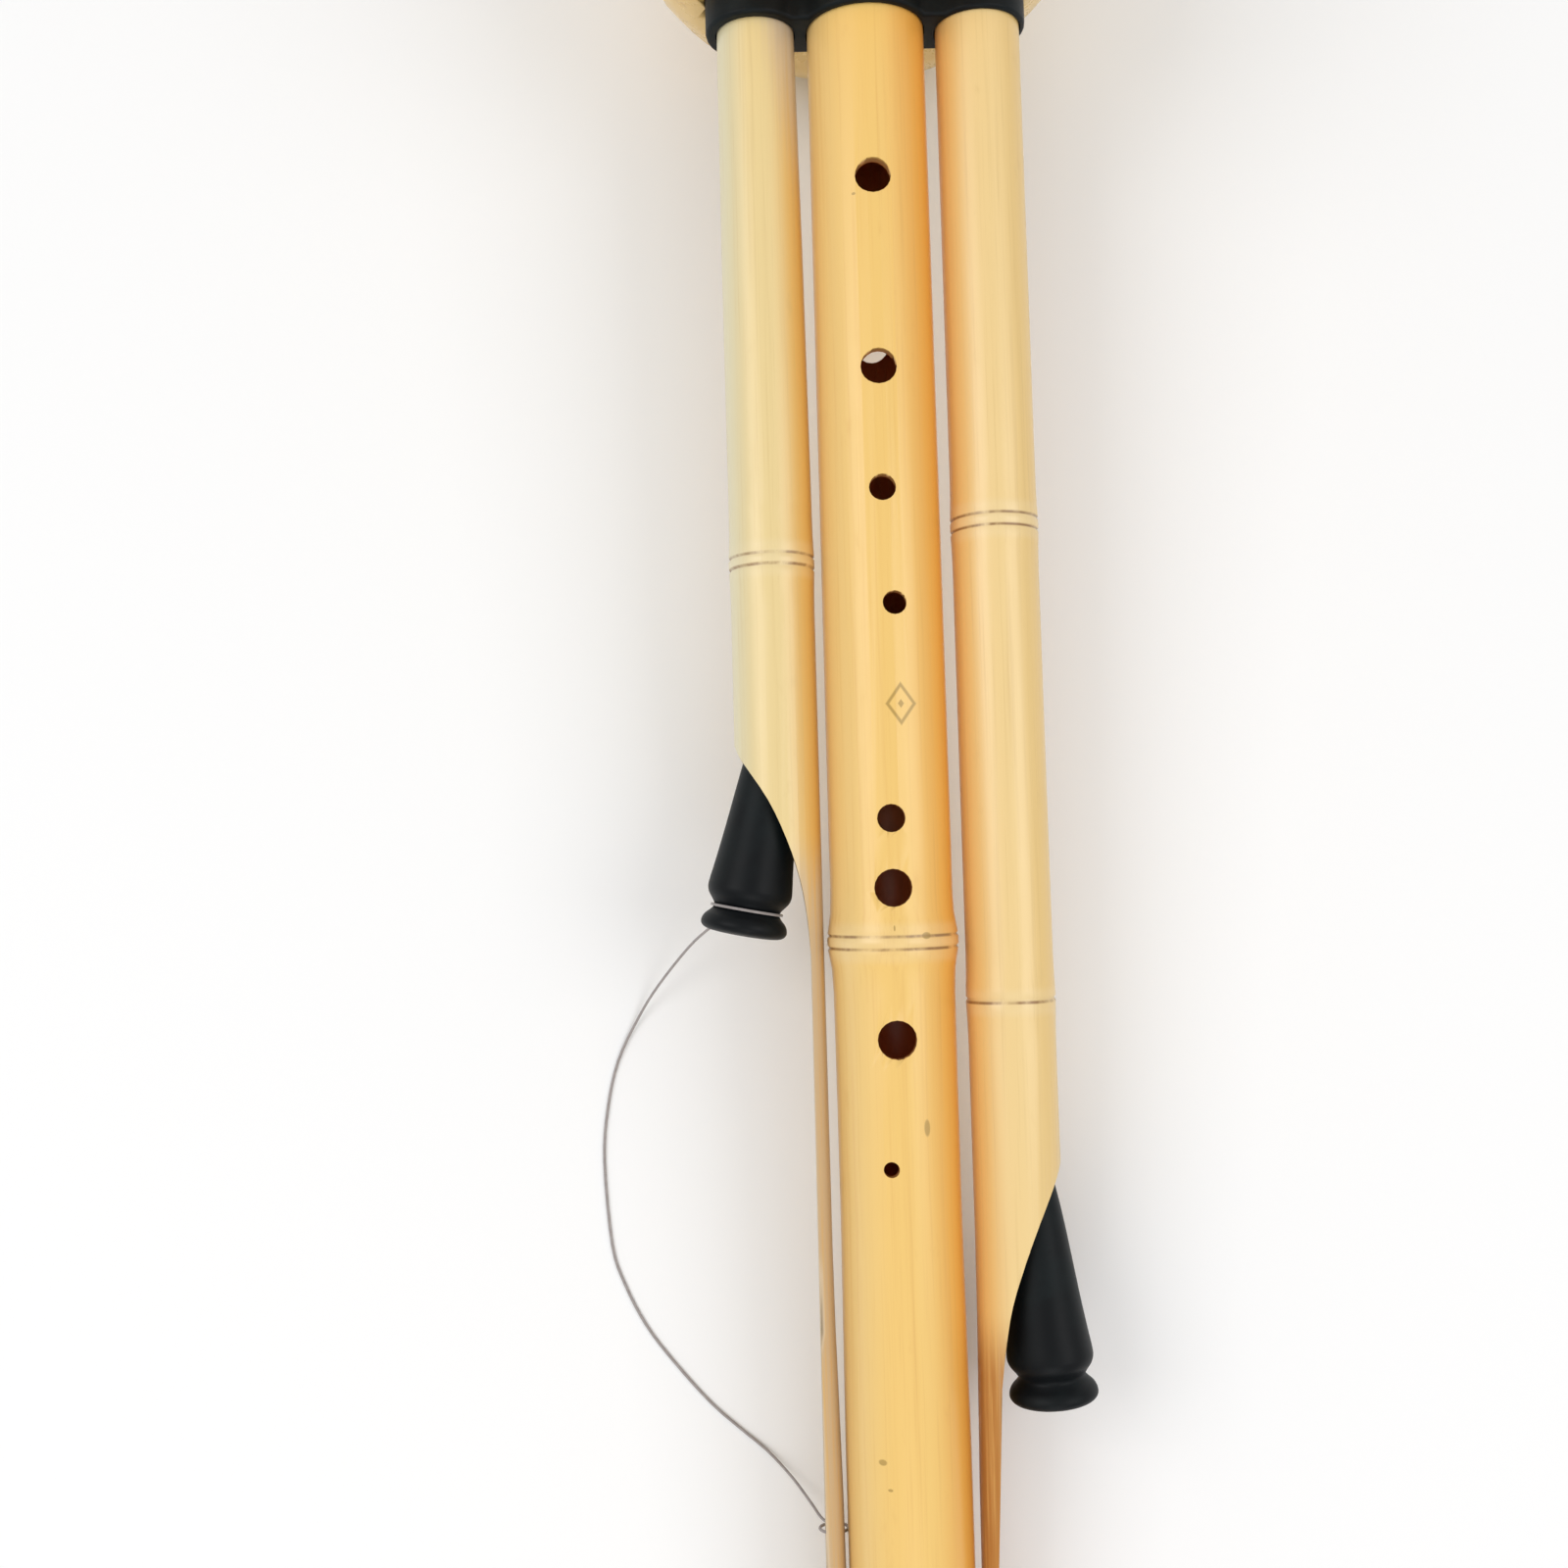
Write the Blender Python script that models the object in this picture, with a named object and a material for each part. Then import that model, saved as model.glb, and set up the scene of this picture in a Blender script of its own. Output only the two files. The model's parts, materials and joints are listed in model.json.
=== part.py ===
"""Hulusi, a gourd flute with a melody pipe and two drone pipes, lying on its back.

The instrument is modelled upright, in metres: +Z runs up through the gourd to the mouthpiece, the
finger holes face -Y, and the origin is on the melody pipe's axis at the seat's lower face. One empty
then lays the whole instrument on its back, so that the gourd and the melody pipe's end both rest on
the floor, with the finger holes facing up.
"""

import math

import bmesh
import bpy
from mathutils import Matrix, Vector

for old in list(bpy.data.objects):
    bpy.data.objects.remove(old, do_unlink=True)

# Clearances
FIT_GAP = 0.0003
CUT_MARGIN = 0.002

# Melody pipe, with depths measured down from the seat's lower face
MELODY_RADIUS = 0.01225
MELODY_WALL = 0.0025
MELODY_LENGTH = 0.375
MELODY_REED_END = 0.086
MELODY_NODE_DEPTH = 0.1886
MELODY_NODE_RISE = 0.0010

# Drone pipes, with the spaces between them and the melody pipe
LEFT_RADIUS = 0.0086
LEFT_TOP_SHRINK = 0.0005
LEFT_SHRINK_REACH = 0.100
RIGHT_RADIUS = 0.0088
DRONE_WALL = 0.0014
LEFT_SPACE = 0.0017
RIGHT_SPACE = 0.0025
LEFT_LENGTH = 0.352
RIGHT_LENGTH = 0.358
LEFT_REED_END = 0.070
RIGHT_REED_END = 0.076
LEFT_NODE_DEPTH = 0.1111
RIGHT_UPPER_NODE_DEPTH = 0.1042
RIGHT_LOWER_NODE_DEPTH = 0.2020
DRONE_NODE_RISE = 0.00025
TONGUE_LEAN = 0.0009
TONGUE_LEAN_START = 0.250
TONGUE_LEAN_END = 0.314

# Bamboo nodes and pipe ends
GROOVE_SPACING = 0.0024
GROOVE_DEPTH = 0.00035
GROOVE_HALF_WIDTH = 0.0005
NODE_REACH = 0.0045
END_CHAMFER = 0.0005

# Front holes of the melody pipe: depth, diameter, step to the right of the axis
FRONT_HOLES = (
    (0.0356, 0.0073, 0.0),
    (0.0748, 0.0073, 0.0),
    (0.0994, 0.0054, 0.0),
    (0.1226, 0.0048, 0.0017),
    (0.1654, 0.0056, -0.0003),
    (0.1791, 0.0075, -0.0003),
    (0.2088, 0.0077, -0.0004),
    (0.2338, 0.0031, -0.0023),
)
# Back holes of the melody pipe: the thumb hole and two tuning vents
BACK_HOLES = (
    (0.0635, 0.0073, 0.0),
    (0.2470, 0.0065, 0.0),
    (0.2640, 0.0065, 0.0),
)

# Scoops that open the drones: the depth where each cut enters the bore, and the cut that is left at
# the end of its curve and at the tongue's lower end, measured from the drone's axis
LEFT_SCOOP_DEPTH = 0.1529
LEFT_TONGUE_CUT = 0.0059
LEFT_TONGUE_END_CUT = 0.0056
RIGHT_SCOOP_DEPTH = 0.2375
RIGHT_TONGUE_CUT = 0.0053
RIGHT_TONGUE_END_CUT = 0.0071
SCOOP_LIP = 0.0070
SCOOP_RUN = 0.040

# Stoppers, each placed by its tip: how far it is past the scoop's start, its tilt outwards from the
# drone's axis, and the tip's step from that axis towards the melody pipe
STOPPER_LENGTH = 0.0492
STOPPER_WEDGE = 0.00135
STOPPER_GROOVE_DEPTH = 0.0019
STOPPER_FLANGE_STEP = 0.0003
LEFT_STOPPER_INSERTION = 0.0130
LEFT_STOPPER_TILT = math.radians(11.3)
LEFT_STOPPER_STEP = 0.00165
RIGHT_STOPPER_INSERTION = 0.0041
RIGHT_STOPPER_TILT = math.radians(4.3)
RIGHT_STOPPER_STEP = -0.0023

# Seat and the wax poured on it inside the gourd
LEFT_COLLAR_WALL = 0.0023
MELODY_COLLAR_WALL = 0.0017
RIGHT_COLLAR_WALL = 0.0012
COLLAR_ROUNDING = 0.0008
SEAT_WEB = 0.0140
SEAT_ABOVE_GOURD_WALL = 0.0015
WAX_THICKNESS = 0.0025
WAX_MARGIN = 0.0002
WAX_BEVEL = 0.0003

# Gourd, with heights measured up from the seat's lower face
GOURD_WALL = 0.0035
GOURD_STEP = -0.0008
FOOT_RADIUS = 0.030
FOOT_HEIGHT = 0.0073
BELLY_RADIUS = 0.0507
BELLY_HEIGHT = 0.048
WAIST_RADIUS = 0.0239
WAIST_HEIGHT = 0.116
BULB_RADIUS = 0.0304
BULB_HEIGHT = 0.146
NECK_RADIUS = 0.0130
NECK_HEIGHT = 0.190
FOOT_FULLNESS = 2.3
BELLY_FULLNESS = 1.35
BULB_FULLNESS = 1.2

# Neck ring and mouthpiece
RING_WALL = 0.0018
RING_HEIGHT = 0.0065
TENON_LENGTH = 0.014
MOUTHPIECE_LENGTH = 0.036
MOUTHPIECE_SHOULDER = 0.0045
MOUTHPIECE_WAIST_RADIUS = 0.0078
MOUTHPIECE_TIP_RADIUS = 0.0068
MOUTHPIECE_BORE_RADIUS = 0.0022
MOUTHPIECE_ROUNDING = 0.0010

# Reeds, on flats of the pipes' upper ends, with their wax frames and the pipes' end plugs
REED_FLAT_SHARE = 0.45
REED_SIDE_MARGIN = 0.0007
REED_THICKNESS = 0.0004
REED_KERF = 0.00025
REED_BORDER = 0.0012
REED_TOP_MARGIN = 0.014
MELODY_REED_LENGTH = 0.030
DRONE_REED_LENGTH = 0.023
REED_WAX_WIDTH = 0.0010
REED_WAX_HEIGHT = 0.0009
PLUG_LENGTH = 0.008

# Tether
CORD_RADIUS = 0.0003
KNOT_RADIUS = 0.0009
TIE_DEPTH = 0.3080
TIE_HOLE_RADIUS = 0.0010
TIE_HOLE_BACK = 0.0031
TIE_LOOP_HALF_WIDTH = 0.0029
TIE_LOOP_HALF_HEIGHT = 0.0025

# Numbers of sides and rings of the round pieces
GOURD_SIDES = 48
FOOT_RINGS = 7
UPPER_RINGS = 12
MELODY_SIDES = 32
DRONE_SIDES = 32
STOPPER_SIDES = 24
SMALL_SIDES = 20
CORD_SIDES = 6
OUTER_ARC_STEPS = 22
MIDDLE_ARC_STEPS = 10
COLLAR_ROUNDING_STEPS = 3
CORD_STEPS = 4

# Where the pieces stand beside each other
LEFT_X = -(MELODY_RADIUS + LEFT_SPACE + LEFT_RADIUS)
RIGHT_X = MELODY_RADIUS + RIGHT_SPACE + RIGHT_RADIUS
LEFT_SOCKET_X = LEFT_X - LEFT_TOP_SHRINK
LEFT_SOCKET_RADIUS = LEFT_RADIUS - LEFT_TOP_SHRINK
SEAT_TOP = FOOT_HEIGHT + GOURD_WALL + SEAT_ABOVE_GOURD_WALL
WAX_LOW = SEAT_TOP + FIT_GAP
WAX_TOP = WAX_LOW + WAX_THICKNESS


def smooth(points, steps):
    """The points of a smooth curve that passes through the given ones."""
    points = [Vector(point) for point in points]
    last = len(points) - 1
    curve = []
    for index in range(last):
        before = points[max(index - 1, 0)]
        start = points[index]
        end = points[index + 1]
        after = points[min(index + 2, last)]
        for step in range(steps):
            share = step / steps
            rise = (end - before) * share
            bend = (2 * before - 5 * start + 4 * end - after) * share**2
            swing = (3 * start - before - 3 * end + after) * share**3
            curve.append(start + (rise + bend + swing) / 2)
    curve.append(points[last])
    return curve


def ease(share):
    """From 0 to 1 with level ends."""
    share = min(max(share, 0.0), 1.0)
    return share * share * (3 - 2 * share)


def between(stations, place):
    """The value at a place, read evenly between (place, value) stations."""
    if place <= stations[0][0]:
        return stations[0][1]
    for (low, low_value), (high, high_value) in zip(stations, stations[1:]):
        if place <= high:
            return low_value + (high_value - low_value) * (place - low) / (high - low)
    return stations[-1][1]


BAMBOO = ((0.88, 0.62, 0.30), 0.35, 0.0)
PALE_BAMBOO = ((0.86, 0.70, 0.42), 0.35, 0.0)
BLACK = ((0.015, 0.017, 0.020), 0.40, 0.0)
GOURD_SKIN = ((0.82, 0.66, 0.36), 0.35, 0.0)
WAX = ((0.55, 0.33, 0.12), 0.55, 0.0)
CORK = ((0.60, 0.42, 0.25), 0.80, 0.0)
BRONZE = ((0.72, 0.50, 0.25), 0.30, 1.0)
CORD = ((0.62, 0.62, 0.60), 0.45, 0.0)


def finish_material(name, colour, roughness, metallic):
    material = bpy.data.materials.new(name)
    material.use_nodes = True
    shader = material.node_tree.nodes["Principled BSDF"]
    shader.inputs["Base Color"].default_value = (*colour, 1.0)
    shader.inputs["Roughness"].default_value = roughness
    shader.inputs["Metallic"].default_value = metallic
    return material


instrument = bpy.data.objects.new("instrument", None)
bpy.context.scene.collection.objects.link(instrument)


def placed(name, mesh, look, location=(0, 0, 0), tilt=0.0, parent=instrument):
    """An object on its parent, tilted about the front-to-back axis. A tool for cuts has no look."""
    data = bpy.data.meshes.new(name)
    bmesh.ops.recalc_face_normals(mesh, faces=mesh.faces)
    mesh.to_mesh(data)
    mesh.free()
    data.shade_smooth()
    data.set_sharp_from_angle(angle=math.radians(32))
    piece = bpy.data.objects.new(name, data)
    bpy.context.scene.collection.objects.link(piece)
    piece.parent = parent
    piece.location = location
    piece.rotation_euler = (0, tilt, 0)
    if look:
        data.materials.append(finish_material(name, *look))
    else:
        piece.hide_render = True
        piece.display_type = "WIRE"
    return piece


def boolean(target, tool, operation="DIFFERENCE"):
    """Cuts target with a tool, or joins the tool to it."""
    change = target.modifiers.new(operation.lower() + "_" + tool.name, "BOOLEAN")
    change.operation = operation
    change.object = tool
    change.solver = "EXACT"


def turned(outline, sides):
    """A mesh turned from an outline of (radius, height), with flats facing front and back."""
    mesh = bmesh.new()
    half_step = math.pi / sides
    across = math.cos(half_step)
    beside = math.sin(half_step)
    verts = [mesh.verts.new((radius * across, radius * beside, height)) for radius, height in outline]
    edges = [mesh.edges.new(pair) for pair in zip(verts, verts[1:])]
    if outline[0][0] > 0:
        edges.append(mesh.edges.new((verts[-1], verts[0])))
    bmesh.ops.spin(
        mesh,
        geom=verts + edges,
        cent=(0, 0, 0),
        axis=(0, 0, 1),
        angle=2 * math.pi,
        steps=sides,
        use_merge=True,
    )
    bmesh.ops.remove_doubles(mesh, verts=mesh.verts, dist=1e-6)
    return mesh


def add_box(mesh, low, high):
    size = [high[i] - low[i] for i in range(3)]
    centre = [(high[i] + low[i]) / 2 for i in range(3)]
    bmesh.ops.create_cube(mesh, size=1, matrix=Matrix.Translation(centre) @ Matrix.Diagonal((*size, 1)))


def add_rod(mesh, start, end, radius, sides=SMALL_SIDES):
    """A straight rod between two points."""
    run = Vector(end) - Vector(start)
    turn = Vector((0, 0, 1)).rotation_difference(run.normalized()).to_matrix().to_4x4()
    matrix = Matrix.Translation((Vector(start) + Vector(end)) / 2) @ turn
    bmesh.ops.create_cone(
        mesh, cap_ends=True, segments=sides, radius1=radius, radius2=radius, depth=run.length, matrix=matrix
    )


def box_tool(name, low, high):
    mesh = bmesh.new()
    add_box(mesh, low, high)
    return placed(name, mesh, None)


def rod_tool(name, start, end, radius):
    mesh = bmesh.new()
    add_rod(mesh, start, end, radius)
    return placed(name, mesh, None)


def slab(outline, front, back):
    """A flat outline of (x, z) given a thickness from front to back."""
    mesh = bmesh.new()
    face = mesh.faces.new([mesh.verts.new((x, front, z)) for x, z in outline])
    grown = bmesh.ops.extrude_face_region(mesh, geom=[face])["geom"]
    moved = [item for item in grown if isinstance(item, bmesh.types.BMVert)]
    bmesh.ops.translate(mesh, verts=moved, vec=(0, back - front, 0))
    return mesh


# Gourd: a hollow shell, full at the foot, with a belly, a waist, a bulb and a cut neck


def foot_point(share):
    """A point of the outline between the foot's edge and the belly, on a full quarter oval."""
    angle = share * math.pi / 2
    out = math.sin(angle) ** (2 / FOOT_FULLNESS)
    down = math.cos(angle) ** (2 / FOOT_FULLNESS) if share < 1 else 0.0
    radius = FOOT_RADIUS + (BELLY_RADIUS - FOOT_RADIUS) * out
    return radius, BELLY_HEIGHT - (BELLY_HEIGHT - FOOT_HEIGHT) * down


def upper_point(height):
    """A point of the outline from the belly up."""
    if height < WAIST_HEIGHT:
        share = (height - BELLY_HEIGHT) / (WAIST_HEIGHT - BELLY_HEIGHT)
        return BELLY_RADIUS + (WAIST_RADIUS - BELLY_RADIUS) * ease(share**BELLY_FULLNESS), height
    if height < BULB_HEIGHT:
        share = (height - WAIST_HEIGHT) / (BULB_HEIGHT - WAIST_HEIGHT)
        return WAIST_RADIUS + (BULB_RADIUS - WAIST_RADIUS) * ease(share), height
    share = (height - BULB_HEIGHT) / (NECK_HEIGHT - BULB_HEIGHT)
    return BULB_RADIUS + (NECK_RADIUS - BULB_RADIUS) * ease(share**BULB_FULLNESS), height


def inset(outline, distance):
    """The outline moved inwards, square to itself."""
    moved = []
    for index, (radius, height) in enumerate(outline):
        before = outline[max(index - 1, 0)]
        after = outline[min(index + 1, len(outline) - 1)]
        along = Vector((after[0] - before[0], after[1] - before[1])).normalized()
        moved.append((radius - along.y * distance, height + along.x * distance))
    return moved


gourd_skin = [foot_point(ring / FOOT_RINGS) for ring in range(FOOT_RINGS)]
upper_step = (NECK_HEIGHT - BELLY_HEIGHT) / UPPER_RINGS
gourd_skin += [upper_point(BELLY_HEIGHT + upper_step * ring) for ring in range(UPPER_RINGS + 1)]
foot_inside = FOOT_HEIGHT + GOURD_WALL
gourd_inside = inset(gourd_skin, GOURD_WALL)[::2]
gourd_inside = [point for point in gourd_inside if foot_inside + FIT_GAP < point[1] < NECK_HEIGHT - FIT_GAP]
gourd_outline = [(0, FOOT_HEIGHT)] + gourd_skin + [(NECK_RADIUS - GOURD_WALL, NECK_HEIGHT)]
gourd_outline += gourd_inside[::-1] + [(FOOT_RADIUS, foot_inside), (0, foot_inside)]
gourd = placed("gourd", turned(gourd_outline, GOURD_SIDES), GOURD_SKIN, (GOURD_STEP, 0, 0))

# Seat: three merged collars and a web between them, which plug the gourd's foot

COLLARS = (
    (LEFT_SOCKET_X, LEFT_SOCKET_RADIUS, LEFT_COLLAR_WALL),
    (0.0, MELODY_RADIUS, MELODY_COLLAR_WALL),
    (RIGHT_X, RIGHT_RADIUS, RIGHT_COLLAR_WALL),
)


def arc(x, radius, start, end, steps):
    """Points round one collar, between two angles in radians."""
    angles = [start + (end - start) * step / steps for step in range(steps + 1)]
    return [(x + radius * math.cos(angle), radius * math.sin(angle)) for angle in angles]


def collars_outline(grow):
    """The outline round all three collars, grown by a distance."""
    half_web = SEAT_WEB / 2 + grow
    discs = [(x, pipe_radius + wall + grow) for x, pipe_radius, wall in COLLARS]
    left, middle, right = [math.asin(half_web / radius) for _, radius in discs]
    outline = arc(*discs[2], right - math.pi, math.pi - right, OUTER_ARC_STEPS)
    outline += arc(*discs[1], middle, math.pi - middle, MIDDLE_ARC_STEPS)
    outline += arc(*discs[0], left, 2 * math.pi - left, OUTER_ARC_STEPS)
    outline += arc(*discs[1], math.pi + middle, 2 * math.pi - middle, MIDDLE_ARC_STEPS)
    return outline


def merged_collars(name, look, rings):
    """A block with the collars' outline, built up from rings of (growth, height)."""
    mesh = bmesh.new()
    below = None
    for ring_grow, height in rings:
        ring = [mesh.verts.new((x, y, height)) for x, y in collars_outline(ring_grow)]
        if below is None:
            mesh.faces.new(ring)
        else:
            for index in range(len(ring)):
                mesh.faces.new((below[index - 1], below[index], ring[index], ring[index - 1]))
        below = ring
    mesh.faces.new(below)
    return placed(name, mesh, look)


passages = bmesh.new()
for socket_x, pipe_radius, _ in COLLARS:
    low_end = (socket_x, 0, -CUT_MARGIN)
    add_rod(passages, low_end, (socket_x, 0, WAX_TOP + CUT_MARGIN), pipe_radius + FIT_GAP, DRONE_SIDES)
sockets = placed("seat_sockets", passages, None)

seat_rings = []
for step in range(COLLAR_ROUNDING_STEPS + 1):
    angle = math.pi / 2 * step / COLLAR_ROUNDING_STEPS
    seat_rings.append((-COLLAR_ROUNDING * (1 - math.sin(angle)), COLLAR_ROUNDING * (1 - math.cos(angle))))
seat = merged_collars("pipe_seat", BLACK, seat_rings + [(0.0, SEAT_TOP)])
boolean(seat, sockets)

opening_rings = ((FIT_GAP, -CUT_MARGIN), (FIT_GAP, SEAT_TOP + CUT_MARGIN))
boolean(gourd, merged_collars("foot_opening", None, opening_rings))

wax_rings = ((-WAX_MARGIN, WAX_LOW), (-WAX_MARGIN, WAX_TOP - WAX_BEVEL), (-WAX_MARGIN - WAX_BEVEL, WAX_TOP))
seat_wax = merged_collars("seat_wax", WAX, wax_rings)
boolean(seat_wax, sockets)

# Neck ring: a band that hides the gourd's cut neck, shaped to it inside

ring_low = NECK_HEIGHT - RING_HEIGHT
skin_by_height = [(height, radius) for radius, height in gourd_skin[FOOT_RINGS:]]
ring_heights = [ring_low, ring_low + RING_HEIGHT / 2, NECK_HEIGHT]
ring_inside = [(between(skin_by_height, height) + FIT_GAP, height) for height in ring_heights]
ring_outside = [(radius + RING_WALL, height) for radius, height in ring_inside]
ring_outline = ring_inside + ring_outside[::-1]
neck_ring = placed("neck_ring", turned(ring_outline, GOURD_SIDES), BLACK, (GOURD_STEP, 0, 0))

# Mouthpiece: a bored tube with a tenon in the gourd's neck and a shoulder on its rim

shoulder_radius = ring_outside[-1][0]
tenon_radius = NECK_RADIUS - GOURD_WALL - FIT_GAP
mouth_low = NECK_HEIGHT + FIT_GAP
mouth_top = NECK_HEIGHT + MOUTHPIECE_LENGTH
mouth_body = smooth(
    (
        (shoulder_radius, mouth_low + MOUTHPIECE_SHOULDER),
        (shoulder_radius - MOUTHPIECE_ROUNDING * 2, mouth_low + MOUTHPIECE_SHOULDER * 1.3),
        (MOUTHPIECE_WAIST_RADIUS + MOUTHPIECE_ROUNDING, mouth_low + MOUTHPIECE_SHOULDER * 2.6),
        (MOUTHPIECE_WAIST_RADIUS, mouth_low + MOUTHPIECE_LENGTH * 0.55),
        (MOUTHPIECE_TIP_RADIUS, mouth_top - MOUTHPIECE_ROUNDING),
    ),
    3,
)
mouth_outline = [
    (MOUTHPIECE_BORE_RADIUS, NECK_HEIGHT - TENON_LENGTH),
    (tenon_radius, NECK_HEIGHT - TENON_LENGTH),
    (tenon_radius, mouth_low),
    (shoulder_radius - MOUTHPIECE_ROUNDING / 2, mouth_low),
    (shoulder_radius, mouth_low + MOUTHPIECE_ROUNDING / 2),
]
mouth_outline += [(point.x, point.y) for point in mouth_body]
mouth_outline += [
    (MOUTHPIECE_TIP_RADIUS - MOUTHPIECE_ROUNDING, mouth_top),
    (MOUTHPIECE_BORE_RADIUS, mouth_top),
]
mouthpiece = placed("mouthpiece", turned(mouth_outline, DRONE_SIDES), BLACK, (GOURD_STEP, 0, 0))

# Pipes: bamboo tubes, each passing through the seat with its reed end inside the gourd


def node_rise(offset, rise, grooves):
    """How far the skin stands out at a distance below a node's first groove."""
    middle = GROOVE_SPACING * (grooves - 1) / 2
    swell = rise * math.exp(-(((offset - middle) / NODE_REACH) ** 2))
    for groove in range(grooves):
        if abs(offset - groove * GROOVE_SPACING) < GROOVE_HALF_WIDTH / 2:
            swell -= GROOVE_DEPTH
    return swell


def node_offsets(grooves):
    """Where a node's rings lie, from above its first groove to below its last."""
    offsets = [-2 * NODE_REACH, -NODE_REACH, -NODE_REACH / 2]
    for groove in range(grooves):
        middle = groove * GROOVE_SPACING
        offsets += [middle - GROOVE_HALF_WIDTH, middle, middle + GROOVE_HALF_WIDTH]
    last = GROOVE_SPACING * (grooves - 1)
    return offsets + [last + NODE_REACH / 2, last + NODE_REACH, last + 2 * NODE_REACH]


def bamboo_outline(stations, wall, top, length, nodes, rise):
    """A tube's outline: the skin from the reed end to the foot, then the bore back up."""
    rings = {depth: between(stations, depth) for depth, _ in stations if 0 <= depth < length - END_CHAMFER}
    for node_depth, grooves in nodes:
        for offset in node_offsets(grooves):
            depth = node_depth + offset
            if depth < length - END_CHAMFER:
                rings[depth] = between(stations, depth) + node_rise(offset, rise, grooves)
    top_radius = between(stations, 0.0)
    end_radius = between(stations, length)
    outline = [(top_radius - END_CHAMFER, top), (top_radius, top - END_CHAMFER)]
    outline += [(rings[depth], -depth) for depth in sorted(rings)]
    outline += [(end_radius, END_CHAMFER - length), (end_radius - END_CHAMFER, -length)]
    bore = [(end_radius - wall, -length)]
    bore += [(radius - wall, -depth) for depth, radius in reversed(stations) if 0 < depth < length]
    return outline + bore + [(top_radius - wall, top)]


def lean_in(mesh, sideways):
    """Steps each ring of a drone sideways by the amount for its depth."""
    for vert in mesh.verts:
        vert.co.x += sideways(-vert.co.z)


def tongue_lean(depth):
    return TONGUE_LEAN * ease((depth - TONGUE_LEAN_START) / (TONGUE_LEAN_END - TONGUE_LEAN_START))


def left_sideways(depth):
    return tongue_lean(depth) - LEFT_TOP_SHRINK * (1 - ease(depth / LEFT_SHRINK_REACH))


def right_sideways(depth):
    return -tongue_lean(depth)


lean_span = TONGUE_LEAN_END - TONGUE_LEAN_START
lean_depths = [TONGUE_LEAN_START + lean_span * step / 4 for step in range(5)]

melody_stations = (
    (0.0, MELODY_RADIUS),
    (0.170, MELODY_RADIUS + 0.0002),
    (0.215, MELODY_RADIUS),
    (0.245, MELODY_RADIUS - 0.00005),
    (0.290, MELODY_RADIUS + 0.0003),
    (MELODY_LENGTH, MELODY_RADIUS + 0.0002),
)
melody_outline = bamboo_outline(
    melody_stations, MELODY_WALL, MELODY_REED_END, MELODY_LENGTH, [(MELODY_NODE_DEPTH, 2)], MELODY_NODE_RISE
)
melody_pipe = placed("melody_pipe", turned(melody_outline, MELODY_SIDES), BAMBOO)

left_stations = [(0.0, LEFT_SOCKET_RADIUS), (LEFT_SHRINK_REACH / 2, LEFT_RADIUS - LEFT_TOP_SHRINK / 4)]
left_stations += [(LEFT_SHRINK_REACH, LEFT_RADIUS)] + [(depth, LEFT_RADIUS) for depth in lean_depths]
left_outline = bamboo_outline(
    left_stations, DRONE_WALL, LEFT_REED_END, LEFT_LENGTH, [(LEFT_NODE_DEPTH, 2)], DRONE_NODE_RISE
)
left_mesh = turned(left_outline, DRONE_SIDES)
lean_in(left_mesh, left_sideways)
left_drone = placed("left_drone_pipe", left_mesh, PALE_BAMBOO, (LEFT_X, 0, 0))

right_stations = [(0.0, RIGHT_RADIUS)] + [(depth, RIGHT_RADIUS) for depth in lean_depths]
right_nodes = [(RIGHT_UPPER_NODE_DEPTH, 2), (RIGHT_LOWER_NODE_DEPTH, 1)]
right_outline = bamboo_outline(
    right_stations, DRONE_WALL, RIGHT_REED_END, RIGHT_LENGTH, right_nodes, DRONE_NODE_RISE
)
right_mesh = turned(right_outline, DRONE_SIDES)
lean_in(right_mesh, right_sideways)
right_drone = placed("right_drone_pipe", right_mesh, PALE_BAMBOO, (RIGHT_X, 0, 0))

# Finger holes, thumb hole and vents, each through one wall of the melody pipe

outside = MELODY_RADIUS + MELODY_NODE_RISE + CUT_MARGIN
drills = bmesh.new()
for depth, diameter, step in FRONT_HOLES:
    add_rod(drills, (step, -outside, -depth), (step, 0, -depth), diameter / 2)
for depth, diameter, step in BACK_HOLES:
    add_rod(drills, (step, 0, -depth), (step, outside, -depth), diameter / 2)
boolean(melody_pipe, placed("finger_holes", drills, None))

# Scoops: each drone's outer side is cut away along a curve that leaves a tongue beside the melody pipe


def scoop(pipe, name, drone_x, inwards, radius, entry, cut, end_cut, shares):
    """Cuts a drone open, with shares of its bore for where the curve runs on its way in."""
    bore = radius - DRONE_WALL
    route = [(-radius - CUT_MARGIN, entry - SCOOP_LIP - CUT_MARGIN), (-radius, entry - SCOOP_LIP / 2)]
    step = SCOOP_RUN / len(shares)
    route += [(share * bore, entry + step * index) for index, share in enumerate(shares)]
    route += [(cut, entry + SCOOP_RUN)]
    curve = [(point.x, point.y) for point in smooth(route, 3)]
    tongue_end = MELODY_LENGTH + CUT_MARGIN
    curve += [(end_cut, TONGUE_LEAN_END), (end_cut, tongue_end), (-radius - 2 * CUT_MARGIN, tongue_end)]
    outline = [(drone_x + inwards * across, -depth) for across, depth in curve]
    boolean(pipe, placed(name, slab(outline, -radius - CUT_MARGIN, radius + CUT_MARGIN), None))


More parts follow.
